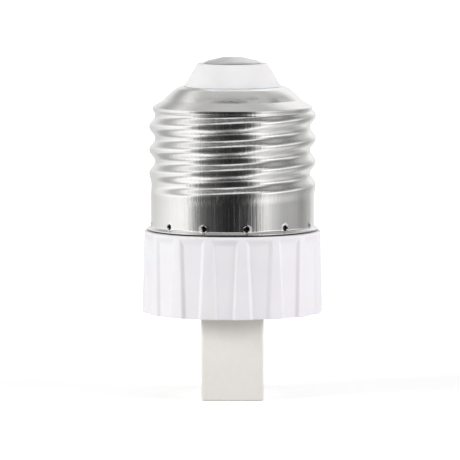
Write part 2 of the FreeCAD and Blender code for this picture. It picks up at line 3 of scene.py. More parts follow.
import bmesh
import bpy
import numpy as np
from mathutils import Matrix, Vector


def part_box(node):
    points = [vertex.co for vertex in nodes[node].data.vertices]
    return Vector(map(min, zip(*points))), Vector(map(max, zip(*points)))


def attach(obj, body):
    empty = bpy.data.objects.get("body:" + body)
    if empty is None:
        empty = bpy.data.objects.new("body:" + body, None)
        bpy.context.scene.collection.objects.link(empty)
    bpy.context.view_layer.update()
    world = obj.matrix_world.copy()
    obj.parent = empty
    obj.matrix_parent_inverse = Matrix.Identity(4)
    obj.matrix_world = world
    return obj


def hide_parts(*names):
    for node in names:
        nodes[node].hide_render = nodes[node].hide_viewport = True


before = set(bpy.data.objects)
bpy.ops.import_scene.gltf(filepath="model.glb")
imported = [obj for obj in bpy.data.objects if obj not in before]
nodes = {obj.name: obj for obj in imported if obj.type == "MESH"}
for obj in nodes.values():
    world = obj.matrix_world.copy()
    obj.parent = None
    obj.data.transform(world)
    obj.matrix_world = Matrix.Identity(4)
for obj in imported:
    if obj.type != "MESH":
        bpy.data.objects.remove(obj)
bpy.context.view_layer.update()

# A lamp socket adapter: a nickel screw base with its insulator and contact on top, a fluted
# white collar round the middle and a ceramic socket for two pins below. Drawing sizes are in
# millimetres, and mm turns them into the scene's metres.

mm = 0.001
print("frame loaded with", len(nodes), "nodes")

# How near points are merged and how flat faces are joined: metres, and degrees for flat.
merging = {"near": 1e-7, "thin": 1e-8, "nearInNodes": 1e-6, "flat": 0.5}


# The lowest and highest corner of a frame node, in millimetres.
def boxOf(node):
    low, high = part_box(node)
    return np.array(low) / mm, np.array(high) / mm


# 0 below nought, 1 above one, and between them 3 s squared less 2 s cubed.
def ease(share):
    share = np.clip(share, 0.0, 1.0)
    return share * share * (3 - 2 * share)


# Corners (across, up, radius) joined by straight runs, each corner rounded by an arc of its
# radius that touches both runs. A closed line joins its last corner to its first.
def roundedLine(corners, closed=True, arcPoints=7):
    corners = [tuple(corner) + (0.0,) * (3 - len(corner)) for corner in corners]
    count = len(corners)
    line = []
    for i, (across, up, radius) in enumerate(corners):
        spot = np.array([across, up])
        if radius <= 0 or (not closed and i in (0, count - 1)):
            line.append(spot[None])
            continue
        back = np.array(corners[i - 1][:2]) - spot
        ahead = np.array(corners[(i + 1) % count][:2]) - spot
        back /= np.linalg.norm(back)
        ahead /= np.linalg.norm(ahead)
        halfAngle = math.acos(np.clip(back @ ahead, -1, 1)) / 2
        middle = (back + ahead) / np.linalg.norm(back + ahead)
        centre = spot + middle * radius / math.sin(halfAngle)
        start = spot + back * radius / math.tan(halfAngle) - centre
        stop = spot + ahead * radius / math.tan(halfAngle) - centre
        turn = math.atan2(start[0] * stop[1] - start[1] * stop[0], start @ stop)
        angles = math.atan2(start[1], start[0]) + np.linspace(0, turn, arcPoints)
        line.append(centre + radius * np.stack([np.cos(angles), np.sin(angles)], axis=1))
    return np.concatenate(line)


# A new object for some data, linked into the scene.
def linked(name, data):
    thing = bpy.data.objects.new(name, data)
    bpy.context.scene.collection.objects.link(thing)
    return thing


def smoothed(mesh):
    mesh.polygons.foreach_set("use_smooth", np.ones(len(mesh.polygons), dtype=bool))


# A grid of points in millimetres, [row, column], becomes one mesh of quads in metres. Its last
# column joins its first, and with ringAlong its last row joins its first row.
def gridPiece(name, grid, ringAlong=True, sharp=35):
    rows, columns = grid.shape[:2]
    index = np.arange(rows * columns).reshape(rows, columns)
    index = np.concatenate([index, index[:, :1]], axis=1)
    if ringAlong:
        index = np.concatenate([index, index[:1]], axis=0)
    quads = np.stack([index[:-1, :-1], index[:-1, 1:], index[1:, 1:], index[1:, :-1]], axis=-1)
    mesh = bpy.data.meshes.new(name)
    mesh.from_pydata((grid.reshape(-1, 3) * mm).tolist(), [], quads.reshape(-1, 4).tolist())
    return finished(name, mesh, sharp)


# Merges the points of a pole or seam, turns the faces outwards and shades them smooth up to
# the sharp angle.
def finished(name, mesh, sharp):
    work = bmesh.new()
    work.from_mesh(mesh)
    bmesh.ops.remove_doubles(work, verts=work.verts, dist=merging["near"])
    bmesh.ops.dissolve_degenerate(work, edges=work.edges, dist=merging["thin"])
    bmesh.ops.recalc_face_normals(work, faces=work.faces)
    work.to_mesh(mesh)
    work.free()
    smoothed(mesh)
    mesh.set_sharp_from_angle(angle=math.radians(sharp))
    return linked(name, mesh)


# A line (radius, height) turned about the upright axis: radius times the cosine and sine of
# each angle, at the line's own height.
def turnedGrid(line, columns):
    angles = np.linspace(0, 2 * math.pi, columns, endpoint=False)
    radius, height = line[:, :1], line[:, 1:]
    return np.stack([radius * np.cos(angles), radius * np.sin(angles),
                     height + 0 * angles], axis=-1)


# Polar radii and heights, each [row, column], as points: radius times cosine, radius times
# sine, height.
def polarGrid(radius, height, angles):
    return np.stack([radius * np.cos(angles), radius * np.sin(angles),
                     height + 0 * radius], axis=-1)


# Says what a finished piece stands for, which finish it takes and what it rides on.
def place(piece, surface, slot, *stoodFor):
    piece.data.materials.clear()
    piece.data.materials.append(surface)
    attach(piece, "root")
    if stoodFor:
        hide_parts(*stoodFor)
    print("made", piece.name, "with", len(piece.data.polygons), "faces")


# A node's mesh copied, merged and dressed with a small bevel on its sharp edges.
def softenedCopy(name, node, bevel, segments=2, sharp=30):
    mesh = nodes[node].data.copy()
    mesh.materials.clear()
    work = bmesh.new()
    work.from_mesh(mesh)
    bmesh.ops.remove_doubles(work, verts=work.verts, dist=merging["nearInNodes"])
    bmesh.ops.dissolve_limit(work, verts=work.verts, edges=work.edges,
                             angle_limit=math.radians(merging["flat"]))
    work.to_mesh(mesh)
    work.free()
    smoothed(mesh)
    piece = linked(name, mesh)
    edge = piece.modifiers.new("edge", "BEVEL")
    edge.width = bevel * mm
    edge.segments = segments
    edge.limit_method = "ANGLE"
    edge.angle_limit = math.radians(sharp)
    edge.harden_normals = True
    return piece


# Surfaces. A new material holds one Principled shader, whose even values are set on its own
# sockets.
def newSurface(name, **values):
    surface = bpy.data.materials.new(name)
    surface.use_nodes = True
    shader = surface.node_tree.nodes["Principled BSDF"]
    for socket, value in values.items():
        shader.inputs[socket.replace("_", " ")].default_value = value
    return surface, surface.node_tree, shader


# A value or another node's socket goes into one input.
def fill(tree, target, value):
    if isinstance(value, bpy.types.NodeSocket):
        tree.links.new(value, target)
    else:
        target.default_value = value


def addNode(tree, kind, inputs=None, **settings):
    node = tree.nodes.new("ShaderNode" + kind)
    for name, value in settings.items():
        setattr(node, name, value)
    for socket, value in (inputs or {}).items():
        fill(tree, node.inputs[socket], value)
    return node


def maths(tree, operation, *values):
    return addNode(tree, "Math", dict(enumerate(values)), operation=operation).outputs[0]


# Noise on Object coordinates, stretched by the scale along each axis, in grains a millimetre.
def grain(tree, perMillimetre, detail=3.0, roughness=0.55, shift=(0, 0, 0)):
    where = addNode(tree, "TexCoord").outputs["Object"]
    scale = tuple(each / mm for each in perMillimetre)
    mapped = addNode(tree, "Mapping", {"Vector": where, "Scale": scale, "Location": shift})
    noise = addNode(tree, "TexNoise", {"Vector": mapped.outputs["Vector"], "Scale": 1.0,
                                       "Detail": detail, "Roughness": roughness})
    return noise.outputs["Fac"]


# Turns the middle of a noise into a run from low to high.
def spread(tree, value, low, high, start=0.3, stop=0.7):
    node = addNode(tree, "MapRange", {"Value": value, "From Min": start, "From Max": stop,
                                      "To Min": low, "To Max": high})
    return node.outputs["Result"]


# A Mix node on colours has its share, first and second colour at inputs 0, 6 and 7, and the
# mixed colour at output 2.
def mixedColour(tree, share, first, second):
    node = addNode(tree, "Mix", data_type="RGBA")
    for index, value in ((0, share), (6, first), (7, second)):
        fill(tree, node.inputs[index], value)
    return node.outputs[2]


# A noise that clouds one colour to another.
def clouded(tree, noise, pair):
    return mixedColour(tree, spread(tree, noise, 0.0, 1.0), *pair)


# Bumps (height, distance, strength), one over the other.
def bumped(tree, shader, heights):
    normal = None
    for height, distance, strength in heights:
        inputs = {"Height": height, "Distance": distance * mm, "Strength": strength}
        if normal:
            inputs["Normal"] = normal
        normal = addNode(tree, "Bump", inputs).outputs["Normal"]
    tree.links.new(normal, shader.inputs["Normal"])


def coated(tree, shader, colour, roughness):
    tree.links.new(colour, shader.inputs["Base Color"])
    tree.links.new(roughness, shader.inputs["Roughness"])


# Colours: pairs that a finish clouds between, and single ones that it darkens towards. The
# near-black one is painted shade for the dimples' bowls and the shell rim's underside.
tones = {
    "nickel": ((0.95, 0.945, 0.935, 1), (0.89, 0.88, 0.87, 1)),
    "pit": (0.03, 0.028, 0.027, 1),
    "tip": ((0.83, 0.83, 0.83, 1), (0.79, 0.79, 0.79, 1)),
    "contact": ((0.88, 0.875, 0.865, 1), (0.78, 0.775, 0.77, 1)),
    "collar": ((0.86, 0.845, 0.865, 1), (0.83, 0.815, 0.84, 1)),
    "ceramic": ((0.84, 0.825, 0.775, 1), (0.80, 0.775, 0.735, 1)),
    "mottle": (0.62, 0.58, 0.52, 1),
    "mica": ((0.52, 0.43, 0.30, 1), (0.34, 0.27, 0.18, 1)),
    "clip": ((0.80, 0.74, 0.62, 1), (0.70, 0.60, 0.45, 1)),
    "brass": ((0.83, 0.66, 0.36, 1), (0.66, 0.48, 0.24, 1)),
}

# Nickel: how far drawn lines and specks dull the plate, each over a span of its noise, and the
# span of the mask over which painted shade darkens the plate to near black in the dimples and
# under the rim.
wearAndShade = {"lines": 0.06, "lineSpan": (0.54, 0.70), "specks": 0.03, "speckSpan": (0.56, 0.72),
        "pitSpan": (0.15, 0.6)}


def nickelSurface():
    surface, tree, shader = newSurface("bright nickel", Metallic=1.0, IOR=1.8)
    drawn = grain(tree, (2.6, 2.6, 0.05), detail=5.0, roughness=0.65)
    fine = grain(tree, (7.0, 7.0, 0.6), detail=4.0, roughness=0.7, shift=(3, 1, 0))
    cloud = grain(tree, (0.12, 0.12, 0.2), detail=2.0)
    plate = clouded(tree, cloud, tones["nickel"])
    # Painted shade: the mask on the mesh turns the plate near black in the dimples' bowls and
    # under the rolled rim.
    pit = addNode(tree, "Attribute", attribute_name="pit").outputs["Fac"]
    dark = spread(tree, pit, 0.0, 1.0, *wearAndShade["pitSpan"])
    coated(tree, shader, mixedColour(tree, dark, plate, tones["pit"]),
           spread(tree, drawn, 0.04, 0.11))
    lines = grain(tree, (3.4, 3.4, 0.035), detail=2.0, roughness=0.5, shift=(7, 2, 0))
    specks = grain(tree, (5.0, 5.0, 2.6), detail=2.0, roughness=0.5, shift=(1, 9, 4))
    worn = maths(tree, "ADD", spread(tree, lines, 0.0, wearAndShade["lines"], *wearAndShade["lineSpan"]),
                 spread(tree, specks, 0.0, wearAndShade["specks"], *wearAndShade["speckSpan"]))
    tree.links.new(maths(tree, "SUBTRACT", 1.0, worn), shader.inputs["Metallic"])
    bumped(tree, shader, [(drawn, 0.04, 0.7), (fine, 0.006, 0.8)])
    return surface


def tipSurface():
    surface, tree, shader = newSurface("tip insulator plastic", IOR=1.5,
                                       Subsurface_Weight=0.15, Subsurface_Scale=1.5 * mm)
    cloud = grain(tree, (0.3, 0.3, 0.3), detail=2.0)
    pores = grain(tree, (4.0, 4.0, 4.0), detail=3.0)
    coated(tree, shader, clouded(tree, cloud, tones["tip"]), spread(tree, pores, 0.3, 0.42))
    bumped(tree, shader, [(pores, 0.004, 0.3)])
    return surface


def contactSurface():
    surface, tree, shader = newSurface("centre contact metal", Metallic=1.0)
    cloud = grain(tree, (0.5, 0.5, 0.5), detail=3.0)
    scuffs = grain(tree, (3.0, 3.0, 3.0), detail=4.0)
    coated(tree, shader, clouded(tree, cloud, tones["contact"]), spread(tree, scuffs, 0.28, 0.45))
    bumped(tree, shader, [(cloud, 0.05, 0.4), (scuffs, 0.006, 0.4)])
    return surface


def collarSurface():
    surface, tree, shader = newSurface("white collar plastic", IOR=1.5, Coat_Weight=0.1,
                                       Subsurface_Weight=0.1, Subsurface_Scale=1.0 * mm)
    cloud = grain(tree, (0.1, 0.1, 0.16), detail=2.0)
    pores = grain(tree, (3.0, 3.0, 3.0), detail=4.0)
    coated(tree, shader, clouded(tree, cloud, tones["collar"]), spread(tree, pores, 0.32, 0.42))
    bumped(tree, shader, [(pores, 0.004, 0.25)])
    return surface


def ceramicSurface():
    surface, tree, shader = newSurface("steatite ceramic", IOR=1.52)
    cloud = grain(tree, (0.09, 0.09, 0.07), detail=2.0, shift=(0.4, 0.2, 0.7))
    mottle = grain(tree, (0.9, 0.9, 0.9), detail=4.0)
    pores = grain(tree, (6.0, 6.0, 6.0), detail=4.0)
    body = clouded(tree, cloud, tones["ceramic"])
    coated(tree, shader, mixedColour(tree, spread(tree, mottle, 0.0, 0.12), body, tones["mottle"]),
           spread(tree, pores, 0.5, 0.68))
    bumped(tree, shader, [(pores, 0.006, 0.45), (mottle, 0.02, 0.25)])
    return surface


# Sheet metal of the inner parts: one metal colour that clouds to another, with rolled grain.
def stripSurface(name, pair, roughness):
    surface, tree, shader = newSurface(name, Metallic=1.0)
    cloud = grain(tree, (0.5, 0.5, 0.5), detail=3.0)
    rolled = grain(tree, (8.0, 8.0, 0.8), detail=3.0)
    coated(tree, shader, clouded(tree, cloud, pair),
           spread(tree, rolled, roughness, roughness + 0.12))
    bumped(tree, shader, [(rolled, 0.003, 0.4)])
    return surface


def micaSurface():
    surface, tree, shader = newSurface("mica sheet", IOR=1.58, Coat_Weight=0.4)
    flakes = grain(tree, (1.6, 1.6, 1.6), detail=4.0)
    coated(tree, shader, clouded(tree, flakes, tones["mica"]), spread(tree, flakes, 0.2, 0.5))
    return surface


nickel = nickelSurface()
ceramic = ceramicSurface()
collarWhite = collarSurface()
print("surfaces ready")


# Screw shell: one drawn sheet with a flared rim, punched dimples, a round thread rolled into
# it and a shoulder that closes on the insulator. crease and brow are (radius, rise), and their
# insides add a rounding. The steps and shoulderInside are (step, rounding), the lips (radius,
# rounding), runOut is in turns, and each dent is (degrees, depth) with one (width, rise).
screw = {
    "sheet": 0.3, "footLift": 0.02,
    "footStep": (0.15, 0.1), "underStep": (0.25, 0.1),
    "rimGap": 0.18, "rimThick": 0.24, "rimEdge": 0.1, "rimRound": 0.5,
    "skirtRadius": 12.8, "skirtHeight": 6.2,
    "pitch": 3.629, "crestRadius": 13.07, "rootRadius": 12.17, "arc": 1.025, "waviness": 0.5,
    "firstCrest": 4.6, "threadHeight": 12.8, "threadReach": 1.9,
    "runOut": (-0.05, 0.22), "settle": 1.8, "fadeOut": 0.45,
    "shoulderRadius": 12.5, "shoulderStart": 0.05, "shoulderEdge": 0.42, "shoulderRound": 0.18,
    "crease": (10.7, 1.12), "creaseRound": 0.3, "brow": (8.85, 2.88), "browRound": 0.5,
    "bulge": 0.075, "bulgeSpan": (0.1, 0.85),
    "dents": ((-115, 0.09), (-71, 0.08), (-40, 0.07)), "dentSize": (1.2, 0.42), "dentPlace": 0.45,
    "lip": (8.1, 0.3), "lipHole": 7.1, "lipInside": (8.0, 0.3),
    "browInside": (8.65, 2.68, 0.5), "creaseInside": (10.6, 0.82, 0.4),
    "threadInside": 0.1, "shoulderInside": (0.3, 0.25), "insideTop": 0.5,
    "dimples": 12, "dimpleTurn": 9.8, "dimpleRise": 1.13, "pitRadius": 0.42, "pitDepth": 0.35,
    "pitSpread": 0.8, "lipHeight": 0.055, "lipPlace": 0.55, "lipWidth": 0.11,
    "columnsPerDimple": 28, "crowding": 0.75, "sharp": 50,
}
# Rows of the shell's grid, from the rim up the outside and back down the inside.
shellRows = {"dimple": 30, "skirt": 5, "thread": 116, "cone": 16,
             "insideThread": 32, "insideSkirt": 3, "insideDimple": 10,
             "start": 0.01, "dimpleTop": 0.7, "skirtFoot": 1.0, "insideThreadGap": 0.4,
             "insideSkirtFoot": 1.1, "insideDimpleHalf": 0.8, "end": 0.05}
# Where shade is painted on the shell: on the dimples, inside the skirt's face by this much, and
# under the rim up to this height and outwards of the skirt by this much.
pitShade = {"inwards": 0.4, "rimRise": 0.03, "rimStep": 0.1}
shellLow, shellHigh = boxOf("screw_shell")
collarLow, collarHigh = boxOf("collar")
seam = shellLow[2] + screw["footLift"]
skirtTop = shellLow[2] + screw["skirtHeight"]
threadTop = skirtTop + screw["threadHeight"]
lowestThread = skirtTop - screw["threadReach"]


# Radius of the rolled thread, by distance along the axis from a crest: an arc over the crest
# and one in the root, joined by the straight flank that touches both. The waviness mixes that
# with a cosine wave between the same two radii.
def threadRadius(along):
    half, arc = screw["pitch"] / 2, screw["arc"]
    depth = screw["crestRadius"] - screw["rootRadius"]
    rise = 2 * arc - depth
    slope = math.asin(2 * arc / math.hypot(half, rise)) - math.atan2(rise, half)
    touch = arc * math.sin(slope)
    x = np.abs((along + half) % screw["pitch"] - half)
    top = screw["crestRadius"] - arc
    crest = top + np.sqrt(arc ** 2 - np.minimum(x, touch) ** 2)
    root = screw["rootRadius"] + arc - np.sqrt(arc ** 2 - np.minimum(half - x, touch) ** 2)
    flank = top + arc * math.cos(slope) - (x - touch) * math.tan(slope)
    arcs = np.where(x < touch, crest, np.where(x > half - touch, root, flank))
    wave = screw["crestRadius"] - depth / 2 * (1 - np.cos(math.pi * x / half))
    return arcs + screw["waviness"] * (wave - arcs)


# How deep the groove of the thread is, by turns along it from its lower end: 0 before the
# run-out, 1 after it.
def grooveDepth(turns):
    start, stop = screw["runOut"]
    return ease((turns - start) / (stop - start))


# The angle of the first dimple's middle.
def firstDimple():
    return math.radians(screw["dimpleTurn"] - 90)


# How far each point is from the nearest dimple's middle, and how deep in a bowl of the given
# radius it lies: the root of 1 less the squared share of that radius.
def dimpleShare(angles, height, radius):
    step = 2 * math.pi / screw["dimples"]
    across = ((angles - firstDimple() + step / 2) % step - step / 2) * screw["skirtRadius"]
    away = np.hypot(across, height - seam - screw["dimpleRise"])
    return away, np.sqrt(np.clip(1 - (away / radius) ** 2, 0, 1))


# Outside of the skirt and thread at each angle and height. The skirt flares into the rim by a
# quarter circle. The lowest groove of the thread starts on the -X side and reaches its depth
# in front; the crest under it settles down to the skirt. The thread dies below the shoulder.
# A dimple is a bowl with a faint raised lip, a bell round the bowl's edge.
def shellRadius(angles, height, bowl, lip):
    skirt, pitch = screw["skirtRadius"], screw["pitch"]
    around = (angles + math.pi) % (2 * math.pi) / (2 * math.pi)
    lastRoot = skirtTop + screw["firstCrest"] + pitch * (around - 1)
    groove = (height - lastRoot) / pitch
    low = np.floor(groove)
    share = groove - low
    lower, upper = grooveDepth(low + around), grooveDepth(low + 1 + around)
    nearest = np.where(share < 0.5, lower, upper)
    settled = 1 - ease((0.5 - share) * pitch / screw["settle"])
    ledge = np.where(share < 0.5, (upper - lower) * settled, 0)
    radius = skirt + nearest * (threadRadius(height - lastRoot - pitch / 2) - skirt)
    radius = radius + ledge * (screw["crestRadius"] - skirt)
    dying = ease((threadTop - height) / screw["fadeOut"])
    radius = screw["shoulderRadius"] + dying * (radius - screw["shoulderRadius"])
    curl = screw["rimRound"]
    drop = np.clip(seam + screw["rimGap"] + screw["rimThick"] + curl - height, 0, curl)
    radius = radius + curl - np.sqrt(curl ** 2 - drop ** 2)
    away, depth = dimpleShare(angles, height, bowl)
    raised = lip * np.exp(-((away - screw["lipPlace"]) / screw["lipWidth"]) ** 2)
    return radius - screw["pitDepth"] * depth + raised


# Shallow knocks in the shoulder just above its crease: one bell of depth for each, by its
# distance round the shell and along the height.
def dents(angles, line):
    width, rise = screw["dentSize"]
    middle = threadTop + screw["shoulderEdge"] + screw["crease"][1] + screw["dentPlace"]
    above = (line[:, 1:] - middle) / rise
    total = 0 * (angles + above)
    for turn, depth in screw["dents"]:
        away = (angles - math.radians(turn) + math.pi) % (2 * math.pi) - math.pi
        total = total + depth * np.exp(-(away * screw["crease"][0] / width) ** 2 - above ** 2)
    return total


# Columns crowd together at the dimples and spread between them: an even run less a sine of
# one turn for each dimple.
def shellAngles():
    count = screw["columnsPerDimple"]
    share = np.arange(count * screw["dimples"]) / count
    crowded = share - screw["crowding"] * np.sin(2 * math.pi * share) / (2 * math.pi)
    return firstDimple() + crowded * 2 * math.pi / screw["dimples"]


# The rolled rim, from the sheet's foot round to the skirt.
def rimLine(low, rimLow, rimTop):
    rim, skirt = shellHigh[0], screw["skirtRadius"]
    foot, footRound = screw["footStep"]
    under, underRound = screw["underStep"]
    return roundedLine([
        (skirt - screw["sheet"], low),
        (skirt + foot, low, footRound),
        (rim - under, rimLow, underRound),
        (rim, rimLow, screw["rimEdge"]),
        (rim, rimTop, screw["rimEdge"]),
        (skirt + screw["rimRound"], rimTop),
    ], closed=False, arcPoints=5)


# The shoulder, over its crease and a cone that swells by a parabola to the lip round the
# insulator's hole, and back under the sheet.
def shoulderLine(edge):
    top, high, sheet = screw["shoulderRadius"], shellHigh[2], screw["sheet"]
    start = np.array(screw["crease"]) + (0, edge)
    stop = np.array(screw["brow"]) + (0, edge)
    share = np.linspace(*screw["bulgeSpan"], shellRows["cone"])[:, None]
    outward = np.array([stop[1] - start[1], start[0] - stop[0]]) / np.linalg.norm(stop - start)
    cone = start + share * (stop - start) + 4 * screw["bulge"] * share * (1 - share) * outward
    browIn, browInRise, browInRound = screw["browInside"]
    creaseIn, creaseInRise, creaseInRound = screw["creaseInside"]
    wall = top - sheet - screw["threadInside"]
    below, belowRound = screw["shoulderInside"]
    return roundedLine([
        (top, threadTop + screw["shoulderStart"]),
        (top, edge, screw["shoulderRound"]),
        (*start, screw["creaseRound"]),
        *map(tuple, cone),
        (*stop, screw["browRound"]),
        (screw["lip"][0], high, screw["lip"][1]),
        (screw["lipHole"], high),
        (screw["lipHole"], high - sheet),
        (screw["lipInside"][0], high - sheet, screw["lipInside"][1]),
        (browIn, edge + browInRise, browInRound),
        (creaseIn, edge + creaseInRise, creaseInRound),
        (wall, edge - below, belowRound),
        (wall, threadTop - below),
    ], closed=False, arcPoints=5)


# One closed band of rows at the shell's angles: rim, outside, shoulder, inside. The inside is
# the outside less the sheet, and no wider than the skirt at the rim.
def makeShell():
    angles = shellAngles()[None, :]
    low, sheet, skirt = seam, screw["sheet"], screw["skirtRadius"]
    rimLow = low + screw["rimGap"]
    rimTop = rimLow + screw["rimThick"]
    dimple = low + screw["dimpleRise"]
    counts = shellRows
    flare = rimLine(low, rimLow, rimTop)
    shoulder = shoulderLine(threadTop + screw["shoulderEdge"])
    heights = np.concatenate([
        np.linspace(rimTop + counts["start"], dimple + counts["dimpleTop"], counts["dimple"]),
        np.linspace(dimple + counts["skirtFoot"], lowestThread, counts["skirt"])[:-1],
        np.linspace(lowestThread, threadTop, counts["thread"]),
    ])[:, None]
    inner = np.concatenate([
        np.linspace(threadTop - screw["insideTop"], lowestThread, counts["insideThread"]),
        np.linspace(lowestThread - counts["insideThreadGap"],
                    dimple + counts["insideSkirtFoot"], counts["insideSkirt"]),
        np.linspace(dimple + counts["insideDimpleHalf"],
                    dimple - counts["insideDimpleHalf"], counts["insideDimple"]),
        [low + counts["end"]],
    ])[:, None]
    outside = shellRadius(angles, heights, screw["pitRadius"], screw["lipHeight"])
    innerBowl = screw["pitRadius"] + sheet * screw["pitSpread"]
    inside = shellRadius(angles, inner, innerBowl, 0) - sheet
    inside = np.where(inner < rimTop + screw["rimRound"], np.minimum(inside, skirt - sheet),
                      inside)
    rows = [polarGrid(flare[:, :1] + 0 * angles, flare[:, 1:], angles),
            polarGrid(outside, heights, angles),
            polarGrid(shoulder[:, :1] - dents(angles, shoulder), shoulder[:, 1:], angles),
            polarGrid(inside, inner, angles)]
    shell = gridPiece("screwShell", np.concatenate(rows), sharp=screw["sharp"])
    # painted shade for the dimples' bowls and the rim's underside, kept on the mesh as a mask by
    # the same formula
    spots = np.empty(len(shell.data.vertices) * 3)
    shell.data.vertices.foreach_get("co", spots)
    x, y, z = (spots.reshape(-1, 3) / mm).T
    out = np.hypot(x, y)
    pit = dimpleShare(np.arctan2(y, x), z, screw["pitRadius"])[1]
    pit = pit * (out < skirt + screw["rimRound"]) * (out > skirt - pitShade["inwards"])
    # painted shade under the rolled rim, where it overhangs the collar
    pit = np.maximum(pit, (z < rimLow + pitShade["rimRise"]) & (out > skirt + pitShade["rimStep"]))
    shade = shell.data.attributes.new("pit", "FLOAT", "POINT")
    shade.data.foreach_set("value", pit)
    place(shell, nickel, "nickel_shell", "screw_shell")


# Collar: a moulding with wide flutes between narrow ribs, whose floor lets the socket block
# through and whose neck stands inside the screw shell.
collar = {
    "ribs": 16, "columnsPerRib": 44,
    "footRadius": 14.15, "topRadius": 13.9,
    "footRound": 0.12, "topRound": 0.4, "floor": 2.0,
    "fluteDepth": 0.43, "fluteFoot": 2.45, "fluteTop": 3.6, "flankSoft": 0.34,
    "fluteTurn": 4.75, "fadeStart": 1.5, "fadeLength": 1.3,
    "ledge": 0.6, "neckRadius": 12.05, "neckFoot": 0.15, "neckWall": 1.5, "neckRound": 0.2,
    "boreFoot": 0.3, "boreStep": 0.2,
    "windowX": 4.97, "windowY": 9.02, "windowEdge": 0.1, "windowTop": 0.08,
    "underRows": 5, "roundRows": 6, "wallRows": 22, "fadeRows": 20, "fadeTop": (1.6, 1.5),
    "sharp": 40,
}
# Snap hooks, which reach over the block's ears.
hooks = {"inside": 6.2, "wall": 1.1, "width": 4.0, "grip": 0.7, "ear": 2.2, "gap": 0.05,
         "catch": 0.55, "rise": 1.3, "outerRound": 0.2, "topRound": 0.15, "tipRound": 0.1,
         "catchRound": 0.08, "middleRise": 0.5}


# Outside of the collar: the rib's tapered radius, let down between the ribs to a flat chord
# with soft flanks, and full again just under the top edge.
def collarRadius(angles, height):
    low, top = collarLow[2], seam
    share = (height - low) / (top - low)
    full = collar["footRadius"] + share * (collar["topRadius"] - collar["footRadius"])
    step = 2 * math.pi / collar["ribs"]
    middle = math.radians(-90 - collar["fluteTurn"])
    away = (angles - middle + step / 2) % step - step / 2
    width = collar["fluteFoot"] + share * (collar["fluteTop"] - collar["fluteFoot"])
    chord = (full - collar["fluteDepth"]) / np.cos(away)
    soft = collar["flankSoft"]
    onRib = ease((np.abs(away) * full - width / 2 + soft / 2) / (2 * soft))
    fading = ease((height - top + collar["fadeStart"]) / collar["fadeLength"])
    return chord + np.maximum(onRib, fading) * (full - chord)


# One closed band of rows: the window's wall, the underside, the rounded foot, the fluted
# wall, the rounded top, the neck and the floor. The window is a rectangle, as the radius at
# each angle: half its width over the cosine, or half its length over the sine, if that is
# less. The roundings are quarter circles.
def makeCollar():
    count = collar["ribs"] * collar["columnsPerRib"]
    angles = np.linspace(0, 2 * math.pi, count, endpoint=False)[None, :]
    flat, tiny = 0 * angles, 1e-6
    low, top, floor = collarLow[2], seam, collarLow[2] + collar["floor"]
    foot, edge, thin = collar["footRound"], collar["topRound"], collar["windowEdge"]
    window = np.minimum(collar["windowX"] / np.maximum(np.abs(np.cos(angles)), tiny),
                        collar["windowY"] / np.maximum(np.abs(np.sin(angles)), tiny))
    footLine = collarRadius(angles, low) - foot
    inward = np.linspace(0, 1, collar["underRows"])[:, None]
    under = window + inward * (footLine - window)
    quarter = np.linspace(0, math.pi / 2, collar["roundRows"])[:, None]
    footHeight = low + foot - foot * np.cos(quarter)
    footRound = collarRadius(angles, footHeight) - foot + foot * np.sin(quarter)
    below, above = collar["fadeTop"]
    wallHeight = np.concatenate([np.linspace(low + foot, top - below, collar["wallRows"])[1:],
                                 np.linspace(top - above, top - edge,
                                             collar["fadeRows"])])[:, None]
    topHeight = top - edge + edge * np.sin(quarter[1:])
    topRound = collarRadius(angles, topHeight) - edge + edge * np.cos(quarter[1:])
    neck, bore = collar["neckRadius"], collar["neckRadius"] - collar["neckWall"]
    inner = roundedLine([
        (neck + collar["ledge"], top),
        (neck, top, collar["neckFoot"]),
        (neck, collarHigh[2], collar["neckRound"]),
        (bore, collarHigh[2], collar["neckRound"]),
        (bore, floor, collar["boreFoot"]),
        (bore - collar["boreStep"], floor),
    ], closed=False)
    windowHeight = np.array([[floor - thin], [floor / 2 + low / 2], [low + thin]])
    rows = [
        polarGrid(window + 0 * windowHeight, windowHeight, angles),
        polarGrid(under, low + 0 * inward, angles),
        polarGrid(footRound[1:], footHeight[1:], angles),
        polarGrid(collarRadius(angles, wallHeight), wallHeight, angles),
        polarGrid(topRound, topHeight, angles),
        polarGrid(inner[:, :1] + flat, inner[:, 1:], angles),
        polarGrid(window + collar["windowTop"], floor + flat, angles),
    ]
    body = gridPiece("fluteCollar", np.concatenate(rows), sharp=collar["sharp"])
    place(body, collarWhite, "collar_plastic", "collar")


# Each snap hook is a bent outline in X and Z, as thick along Y as the hook is wide, closed
# by a fan at both faces.
def makeHooks():
    low = collarLow[2] + collar["floor"] / 2
    earTop = collarLow[2] + collar["floor"] + hooks["ear"]
    inside, wall, grip = hooks["inside"], hooks["wall"], hooks["grip"]
    top, under = earTop + hooks["rise"], earTop + hooks["gap"]
    profile = roundedLine([
        (inside, low),
        (inside + wall, low),
        (inside + wall, top, hooks["outerRound"]),
        (inside, top, hooks["topRound"]),
        (inside - grip, earTop + hooks["catch"], hooks["tipRound"]),
        (inside - grip, under, hooks["catchRound"]),
        (inside, under, hooks["catchRound"]),
    ], arcPoints=4)
    middle = 0 * profile + np.array([[inside + wall / 2, low + hooks["middleRise"]]])
    half = hooks["width"] / 2
    sections = ((middle, -half), (profile, -half), (profile, half), (middle, half))
    for side, name in ((1, "rightHook"), (-1, "leftHook")):
        rows = [np.stack([side * line[:, 0], depth + 0 * line[:, 0], line[:, 1]], axis=-1)
                for line, depth in sections]
        hook = gridPiece(name, np.stack(rows), ringAlong=False)
        place(hook, collarWhite, "collar_plastic")


